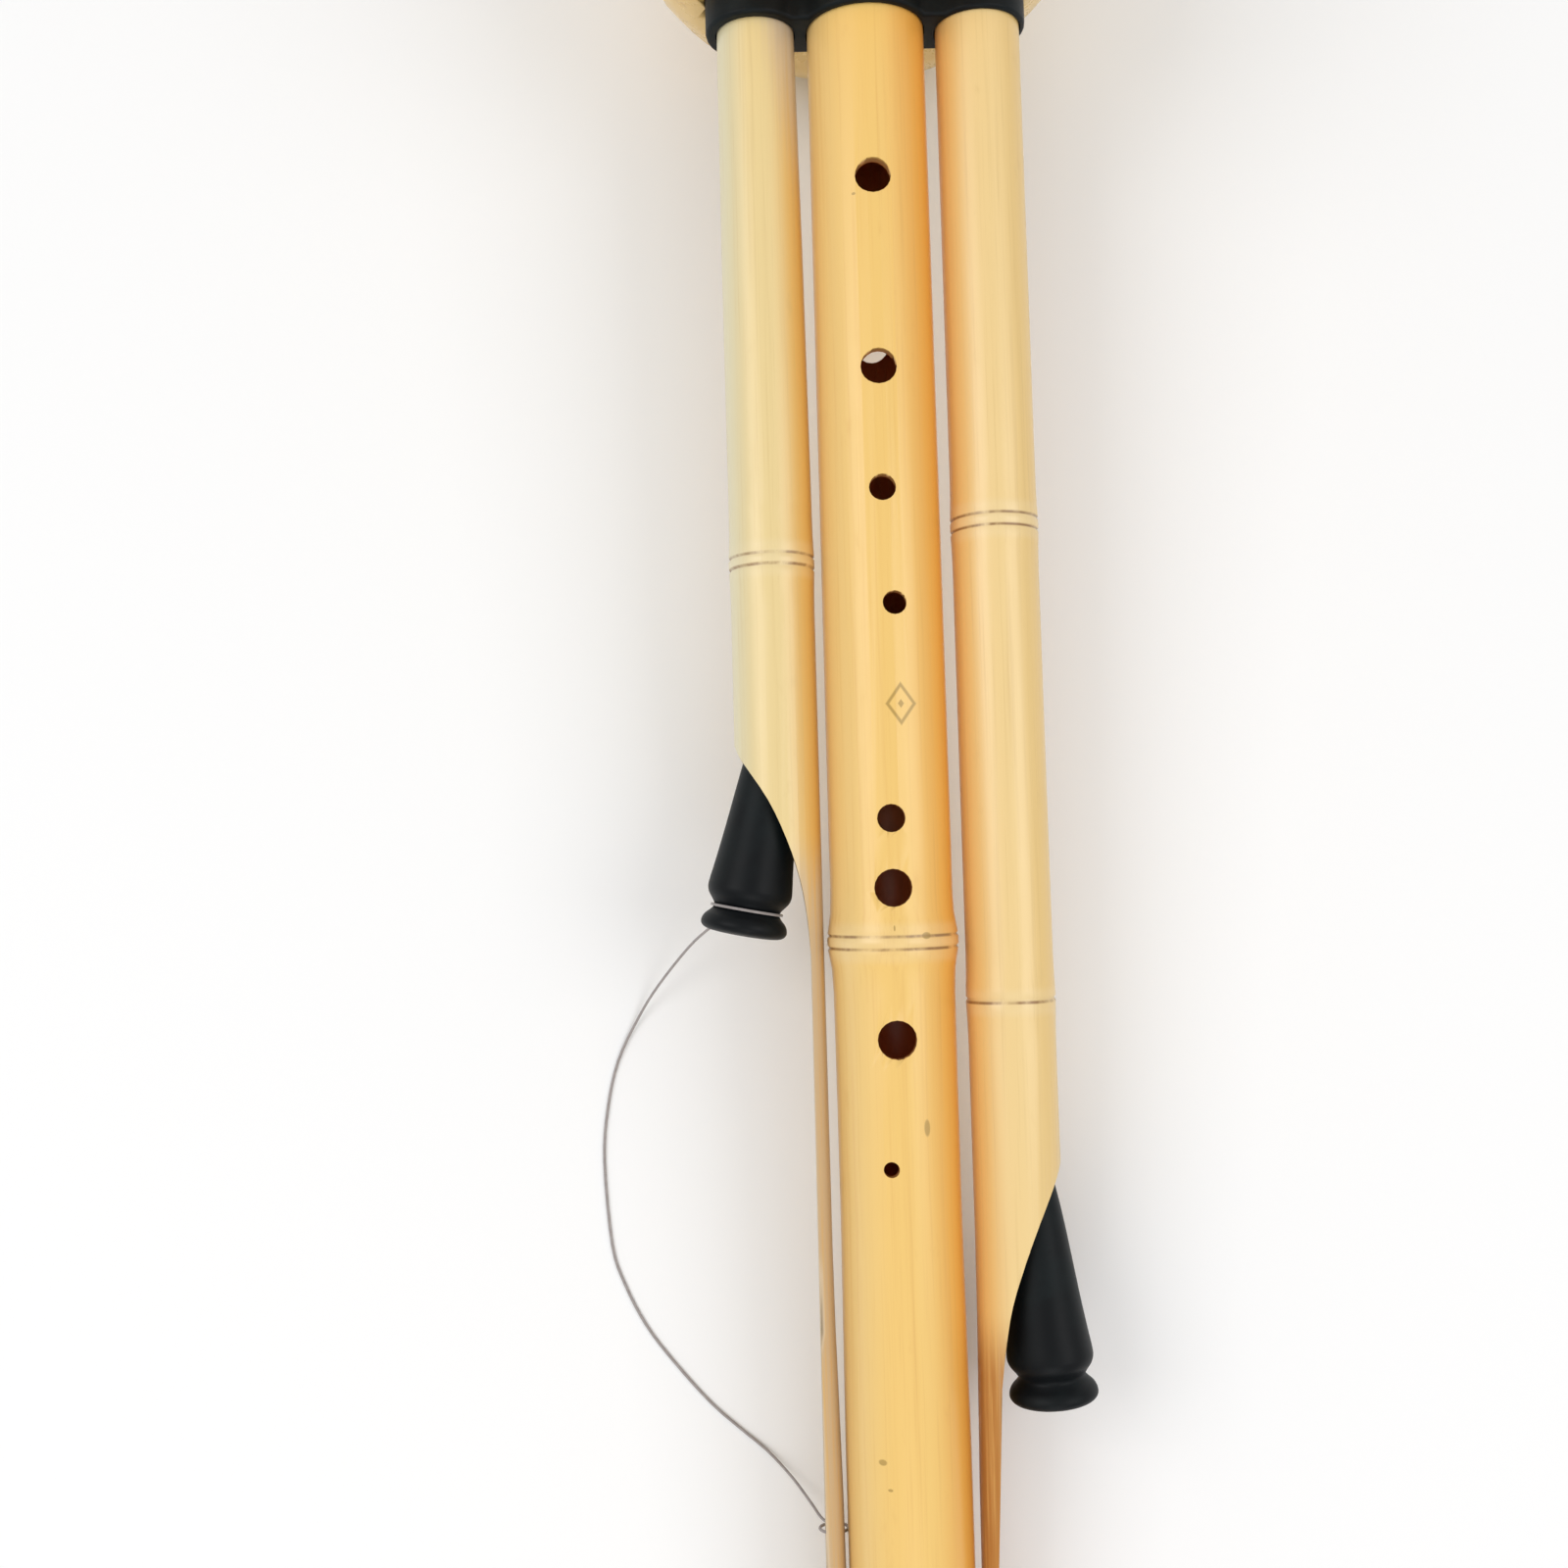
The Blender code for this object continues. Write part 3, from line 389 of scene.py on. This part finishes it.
def bamboo_material(
    name,
    centre,
    radius,
    wall,
    skin,
    shaded_right_side,
    lit_left_side,
    fibre,
    raw_cut,
    bore_wall,
    grooves,
    tongue_tint=None,
    tongue_start=0.0,
):
    """Bamboo with its skin outside, raw cut edges, a bore and perhaps a worn tongue."""
    material, tree, shader = new_material(name)
    group = add_node(tree, "ShaderNodeGroup", node_tree=bamboo)
    values = {
        "Skin": skin,
        "Right Side": shaded_right_side,
        "Left Side": lit_left_side,
        "Fibre": fibre,
        "Centre": centre,
        "Radius": radius,
        **dict(zip(GROOVES, grooves)),
    }
    for socket, value in values.items():
        group.inputs[socket].default_value = value
    spot, apart = along_pipes(tree)
    aside = math_node(tree, "SUBTRACT", apart["X"], centre)
    aside_squared = math_node(tree, "POWER", aside, 2.0)
    behind_squared = math_node(tree, "POWER", apart["Y"], 2.0)
    reach = math_node(tree, "SQRT", math_node(tree, "ADD", aside_squared, behind_squared))
    grain = noise(tree, spot, 900.0, (1.0, 1.0, 0.03), 3.0, 0.6)
    raw = tinted(tree, raw_cut, ramped(tree, grain, 0.35, 0.75), 0.5, fibre)
    colour = group.outputs["Color"]
    if tongue_tint:
        down = math_node(tree, "MULTIPLY", apart["Z"], -1.0)
        below = ramped(tree, down, tongue_start, tongue_start + TONGUE_FADE)
        worn = math_node(tree, "MULTIPLY", below, ramped(tree, grain, 0.1, 0.6))
        colour = tinted(tree, colour, worn, 0.9, tongue_tint)
    colour = mixed(tree, ramped(tree, reach, radius - SKIN_THIN, radius - SKIN_THICK), colour, raw)
    if centre:
        bore_wall = mixed(tree, ramped(tree, grain, 0.3, 0.8), bore_wall, fibre)
    bore = ramped(tree, reach, radius - wall + BORE_OUTER, radius - wall - BORE_INNER)
    colour = mixed(tree, bore, colour, bore_wall)
    tree.links.new(colour, shader.inputs["Base Color"])
    tree.links.new(group.outputs["Roughness"], shader.inputs["Roughness"])
    bumped(tree, shader, group.outputs["Height"], 0.12, 0.0002)
    shader.inputs["Coat Weight"].default_value = 0.25
    shader.inputs["Coat Roughness"].default_value = 0.25
    return material


def dressed(node, material, angle=32):
    """A piece in a node's place, with round surfaces shaded smooth and its edges crisp."""
    shape = bmesh.new()
    shape.from_mesh(nodes[node].data)
    bmesh.ops.remove_doubles(shape, verts=shape.verts, dist=MERGE_DISTANCE)
    mesh = bpy.data.meshes.new(node + "_piece")
    shape.to_mesh(mesh)
    shape.free()
    mesh.shade_smooth()
    mesh.set_sharp_from_angle(angle=math.radians(angle))
    mesh.materials.clear()
    mesh.materials.append(material)
    piece = bpy.data.objects.new(node + "_piece", mesh)
    scene.collection.objects.link(piece)
    evened = piece.modifiers.new("evened", "WEIGHTED_NORMAL")
    evened.keep_sharp = True
    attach(piece, body_names[node])
    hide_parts(node)


# Each pipe's shaded_right_side colour is painted shade and its lit_left_side colour is painted light
# across the round pipe.
melody_skin = bamboo_material(
    "melody_bamboo",
    centre=0.0,
    radius=0.01235,
    wall=0.0025,
    skin=(0.86, 0.56, 0.165, 1.0),
    shaded_right_side=(0.84, 0.40, 0.065, 1.0),
    lit_left_side=(0.86, 0.60, 0.235, 1.0),
    fibre=(0.66, 0.34, 0.075, 1.0),
    raw_cut=(0.50, 0.24, 0.09, 1.0),
    bore_wall=(0.80, 0.22, 0.05, 1.0),
    grooves=(0.1886, 0.1911, NO_GROOVE),
)
left_skin = bamboo_material(
    "left_drone_bamboo",
    centre=-0.02255,
    radius=0.0086,
    wall=0.0014,
    skin=(0.80, 0.62, 0.29, 1.0),
    shaded_right_side=(0.76, 0.44, 0.11, 1.0),
    lit_left_side=(0.72, 0.65, 0.42, 1.0),
    fibre=(0.58, 0.40, 0.16, 1.0),
    raw_cut=(0.62, 0.50, 0.36, 1.0),
    bore_wall=(0.60, 0.46, 0.30, 1.0),
    grooves=(0.1111, 0.1134, NO_GROOVE),
    tongue_tint=(0.62, 0.48, 0.32, 1.0),
    tongue_start=0.1665,
)
right_skin = bamboo_material(
    "right_drone_bamboo",
    centre=0.02355,
    radius=0.0088,
    wall=0.0014,
    skin=(0.84, 0.61, 0.27, 1.0),
    shaded_right_side=(0.78, 0.53, 0.19, 1.0),
    lit_left_side=(0.82, 0.52, 0.18, 1.0),
    fibre=(0.58, 0.38, 0.14, 1.0),
    raw_cut=(0.50, 0.27, 0.10, 1.0),
    bore_wall=(0.50, 0.28, 0.12, 1.0),
    grooves=(0.1042, 0.1067, 0.2025),
    tongue_tint=(0.46, 0.20, 0.05, 1.0),
    tongue_start=0.262,
)

# Marks on the melody pipe: an engraved lozenge with a dot under the fourth hole, and the few dark
# flecks that the bamboo grew with. (step to the right, depth, half width, half height)

OLIVE_BROWN = (0.36, 0.22, 0.045, 1.0)
LOZENGE = (0.0023, 0.1428, 0.0027, 0.0038)
LOZENGE_LINE = 0.22
FLECKS = (
    (-0.0040, 0.0392, 0.0004, 0.0003),
    (0.0049, 0.2260, 0.0006, 0.0017),
    (-0.0057, 0.2895, 0.0008, 0.0006),
    (-0.0044, 0.2946, 0.0005, 0.0003),
    (0.0059, 0.1886, 0.0009, 0.0007),
    (-0.0004, 0.1870, 0.0002, 0.0006),
)


def engrave(material):
    """Darkens the lozenge and the flecks on the front of the melody pipe."""
    tree = material.node_tree
    shader = tree.nodes["Principled BSDF"]
    colour = shader.inputs["Base Color"].links[0].from_socket
    _, apart = along_pipes(tree)
    front = ramped(tree, apart["Y"], 0.0, -0.004)

    def spread(step, depth, half_width, half_height):
        """Distances from a mark's middle, across and along, as shares of its half sizes."""
        aside = math_node(tree, "ABSOLUTE", math_node(tree, "SUBTRACT", apart["X"], step))
        along = math_node(tree, "ABSOLUTE", math_node(tree, "ADD", apart["Z"], depth))
        aside = math_node(tree, "DIVIDE", aside, half_width)
        return aside, math_node(tree, "DIVIDE", along, half_height)

    aside, along = spread(*LOZENGE)
    off = math_node(tree, "SUBTRACT", math_node(tree, "ADD", aside, along), 1.0)
    line = ramped(tree, math_node(tree, "ABSOLUTE", off), LOZENGE_LINE, LOZENGE_LINE / 4)
    dot = ramped(tree, off, -0.72, -0.82)
    line = math_node(tree, "MULTIPLY", math_node(tree, "MAXIMUM", line, dot), front)
    colour = tinted(tree, colour, line, 0.75, OLIVE_BROWN)
    for fleck in FLECKS:
        aside, along = (math_node(tree, "POWER", value, 2.0) for value in spread(*fleck))
        off = math_node(tree, "ADD", aside, along)
        spotted = math_node(tree, "MULTIPLY", ramped(tree, off, 1.3, 0.5), front)
        colour = tinted(tree, colour, spotted, 0.7, OLIVE_BROWN)
    tree.links.new(colour, shader.inputs["Base Color"])


engrave(melody_skin)
dressed("melody_pipe", melody_skin)
dressed("left_drone_pipe", left_skin)
dressed("right_drone_pipe", right_skin)

# Gourd: a dried, cleaned gourd with its thin rind polished to a pale yellow. The foot is cut flat
# for the seat and the neck is cut off under the mouthpiece.

GOURD_YELLOW = (0.80, 0.58, 0.22, 1.0)
GOURD_AMBER = (0.72, 0.46, 0.13, 1.0)
FRECKLE_BROWN = (0.42, 0.23, 0.06, 1.0)
SCUFF_PALE = (0.86, 0.72, 0.42, 1.0)

gourd_rind, tree, shader = new_material("gourd_rind")
place = add_node(tree, "ShaderNodeTexCoord").outputs["Object"]
clouds = noise(tree, place, 25.0, (1.0, 1.0, 1.0), 4.0, 0.55)
freckles = noise(tree, place, 420.0, (1.0, 1.0, 1.0), 3.0, 0.6)
scuffs = noise(tree, place, 110.0, (1.0, 0.4, 1.0), 5.0, 0.7)
colour = mixed(tree, ramped(tree, clouds, 0.30, 0.72), GOURD_YELLOW, GOURD_AMBER)
colour = tinted(tree, colour, ramped(tree, freckles, 0.62, 0.74), 0.35, FRECKLE_BROWN)
colour = tinted(tree, colour, ramped(tree, scuffs, 0.58, 0.80), 0.30, SCUFF_PALE)
tree.links.new(colour, shader.inputs["Base Color"])
tree.links.new(ramped(tree, scuffs, -0.6, 2.4), shader.inputs["Roughness"])
bumped(tree, shader, clouds, 0.15, 0.0006)
shader.inputs["Coat Weight"].default_value = 0.35
shader.inputs["Coat Roughness"].default_value = 0.2
dressed("gourd", gourd_rind, 40)

# Black fittings: the seat that plugs the gourd's foot, the neck ring, the mouthpiece and the two
# turned stoppers. All are stained near-black and left satin from the lathe.

STAIN_BLACK = (0.003, 0.004, 0.005, 1.0)
HANDLED_BLACK = (0.006, 0.010, 0.011, 1.0)

black_fitting, tree, shader = new_material("black_fitting")
place = add_node(tree, "ShaderNodeTexCoord").outputs["Object"]
turning = noise(tree, place, 900.0, (0.25, 1.0, 0.25), 3.0, 0.6)
handling = noise(tree, place, 90.0, (1.0, 1.0, 1.0), 4.0, 0.6)
colour = mixed(tree, ramped(tree, handling, 0.35, 0.75), STAIN_BLACK, HANDLED_BLACK)
tree.links.new(colour, shader.inputs["Base Color"])
tree.links.new(math_node(tree, "MULTIPLY_ADD", handling, 0.25, 0.36), shader.inputs["Roughness"])
bumped(tree, shader, turning, 0.08, 0.0002)
shader.inputs["Specular IOR Level"].default_value = 0.16
for name in ("pipe_seat", "neck_ring", "mouthpiece"):
    dressed(name, black_fitting)

STOPPER_LENGTH = 0.0492
STOPPER_SIDES = 96
STOPPER_STEPS = 4
# (distance from the tip, radius), from the tip over the shoulder and the tie groove to the rim
STOPPER_TURNING = (
    (0.0, 0.0),
    (0.0006, 0.0020),
    (0.0018, 0.0032),
    (0.0042, 0.0043),
    (0.0092, 0.0052),
    (0.0162, 0.00605),
    (0.0276, 0.0072),
    (0.0345, 0.0080),
    (0.0387, 0.00855),
    (0.0402, 0.0086),
    (0.0414, 0.0082),
    (0.0426, 0.0073),
    (0.0437, 0.0067),
    (0.0447, 0.0073),
    (0.0457, 0.0083),
    (0.0468, 0.0088),
    (0.0478, 0.0087),
    (0.0486, 0.0077),
    (0.0490, 0.0052),
    (STOPPER_LENGTH, 0.0),
)


def turned_stopper(node, tip, axis):
    """A stopper turned about its own axis, from its tip outwards."""
    turning = [(radius, 0, along) for along, radius in STOPPER_TURNING]
    profile = smooth_route(turning, STOPPER_STEPS)
    shape = bmesh.new()
    verts = [shape.verts.new((max(point.x, 0.0), 0, point.z)) for point in profile]
    edges = [shape.edges.new(pair) for pair in zip(verts, verts[1:])]
    bmesh.ops.spin(
        shape,
        geom=verts + edges,
        cent=(0, 0, 0),
        axis=(0, 0, 1),
        angle=2 * math.pi,
        steps=STOPPER_SIDES,
        use_merge=True,
    )
    bmesh.ops.remove_doubles(shape, verts=shape.verts, dist=MERGE_DISTANCE)
    bmesh.ops.recalc_face_normals(shape, faces=shape.faces)
    aim = Vector(axis).to_track_quat("Z", "Y").to_matrix().to_4x4()
    bmesh.ops.transform(shape, matrix=Matrix.Translation(tip) @ aim, verts=shape.verts)
    mesh = bpy.data.meshes.new(node + "_turned")
    shape.to_mesh(mesh)
    shape.free()
    mesh.shade_smooth()
    mesh.materials.append(black_fitting)
    piece = bpy.data.objects.new(node + "_turned", mesh)
    scene.collection.objects.link(piece)
    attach(piece, node)
    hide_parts(node)


# (stopper, place of its tip, axis from the tip outwards)
STOPPERS = (
    ("left_stopper", (-0.02010, -0.064855, 0.033771), (-0.195946, -0.976514, -0.089588)),
    ("right_stopper", (0.02665, -0.157964, 0.025229), (0.074979, -0.993015, -0.091101)),
)
for name, tip, axis in STOPPERS:
    turned_stopper(name, tip, axis)

# Wax, plugs and reeds, all inside the gourd: dark beeswax poured on the seat and run round each
# reed, cork plugs in the pipes' upper ends, and reeds of rolled bronze sheet.

WAX_DARK = (0.40, 0.21, 0.06, 1.0)
WAX_LIGHT = (0.55, 0.33, 0.12, 1.0)
CORK_PALE = (0.50, 0.33, 0.18, 1.0)
CORK_DARK = (0.25, 0.14, 0.06, 1.0)
BRONZE_BRIGHT = (0.72, 0.48, 0.22, 1.0)
BRONZE_DULL = (0.52, 0.32, 0.13, 1.0)

wax, tree, shader = new_material("wax")
place = add_node(tree, "ShaderNodeTexCoord").outputs["Object"]
lumps = noise(tree, place, 300.0, (1.0, 1.0, 1.0), 4.0, 0.6)
colour = mixed(tree, ramped(tree, lumps, 0.3, 0.7), WAX_DARK, WAX_LIGHT)
tree.links.new(colour, shader.inputs["Base Color"])
bumped(tree, shader, lumps, 0.5, 0.0004)
shader.inputs["Roughness"].default_value = 0.45
for name in ("seat_wax", "melody_reed_wax", "left_reed_wax", "right_reed_wax"):
    dressed(name, wax)

cork, tree, shader = new_material("cork")
place = add_node(tree, "ShaderNodeTexCoord").outputs["Object"]
cells = add_node(tree, "ShaderNodeTexVoronoi", {"Scale": 900.0})
tree.links.new(place, cells.inputs["Vector"])
colour = mixed(tree, ramped(tree, cells.outputs["Distance"], 0.2, 0.8), CORK_PALE, CORK_DARK)
tree.links.new(colour, shader.inputs["Base Color"])
bumped(tree, shader, cells.outputs["Distance"], 0.5, 0.0003)
shader.inputs["Roughness"].default_value = 0.85
for name in ("melody_end_plug", "left_end_plug", "right_end_plug"):
    dressed(name, cork)

bronze, tree, shader = new_material("bronze_reed")
place = add_node(tree, "ShaderNodeTexCoord").outputs["Object"]
rolling = noise(tree, place, 1200.0, (1.0, 0.03, 1.0), 3.0, 0.6)
colour = mixed(tree, ramped(tree, rolling, 0.3, 0.8), BRONZE_BRIGHT, BRONZE_DULL)
tree.links.new(colour, shader.inputs["Base Color"])
tree.links.new(math_node(tree, "MULTIPLY_ADD", rolling, 0.25, 0.18), shader.inputs["Roughness"])
shader.inputs["Metallic"].default_value = 1.0
for name in ("melody_reed", "left_reed", "right_reed"):
    dressed(name, bronze)
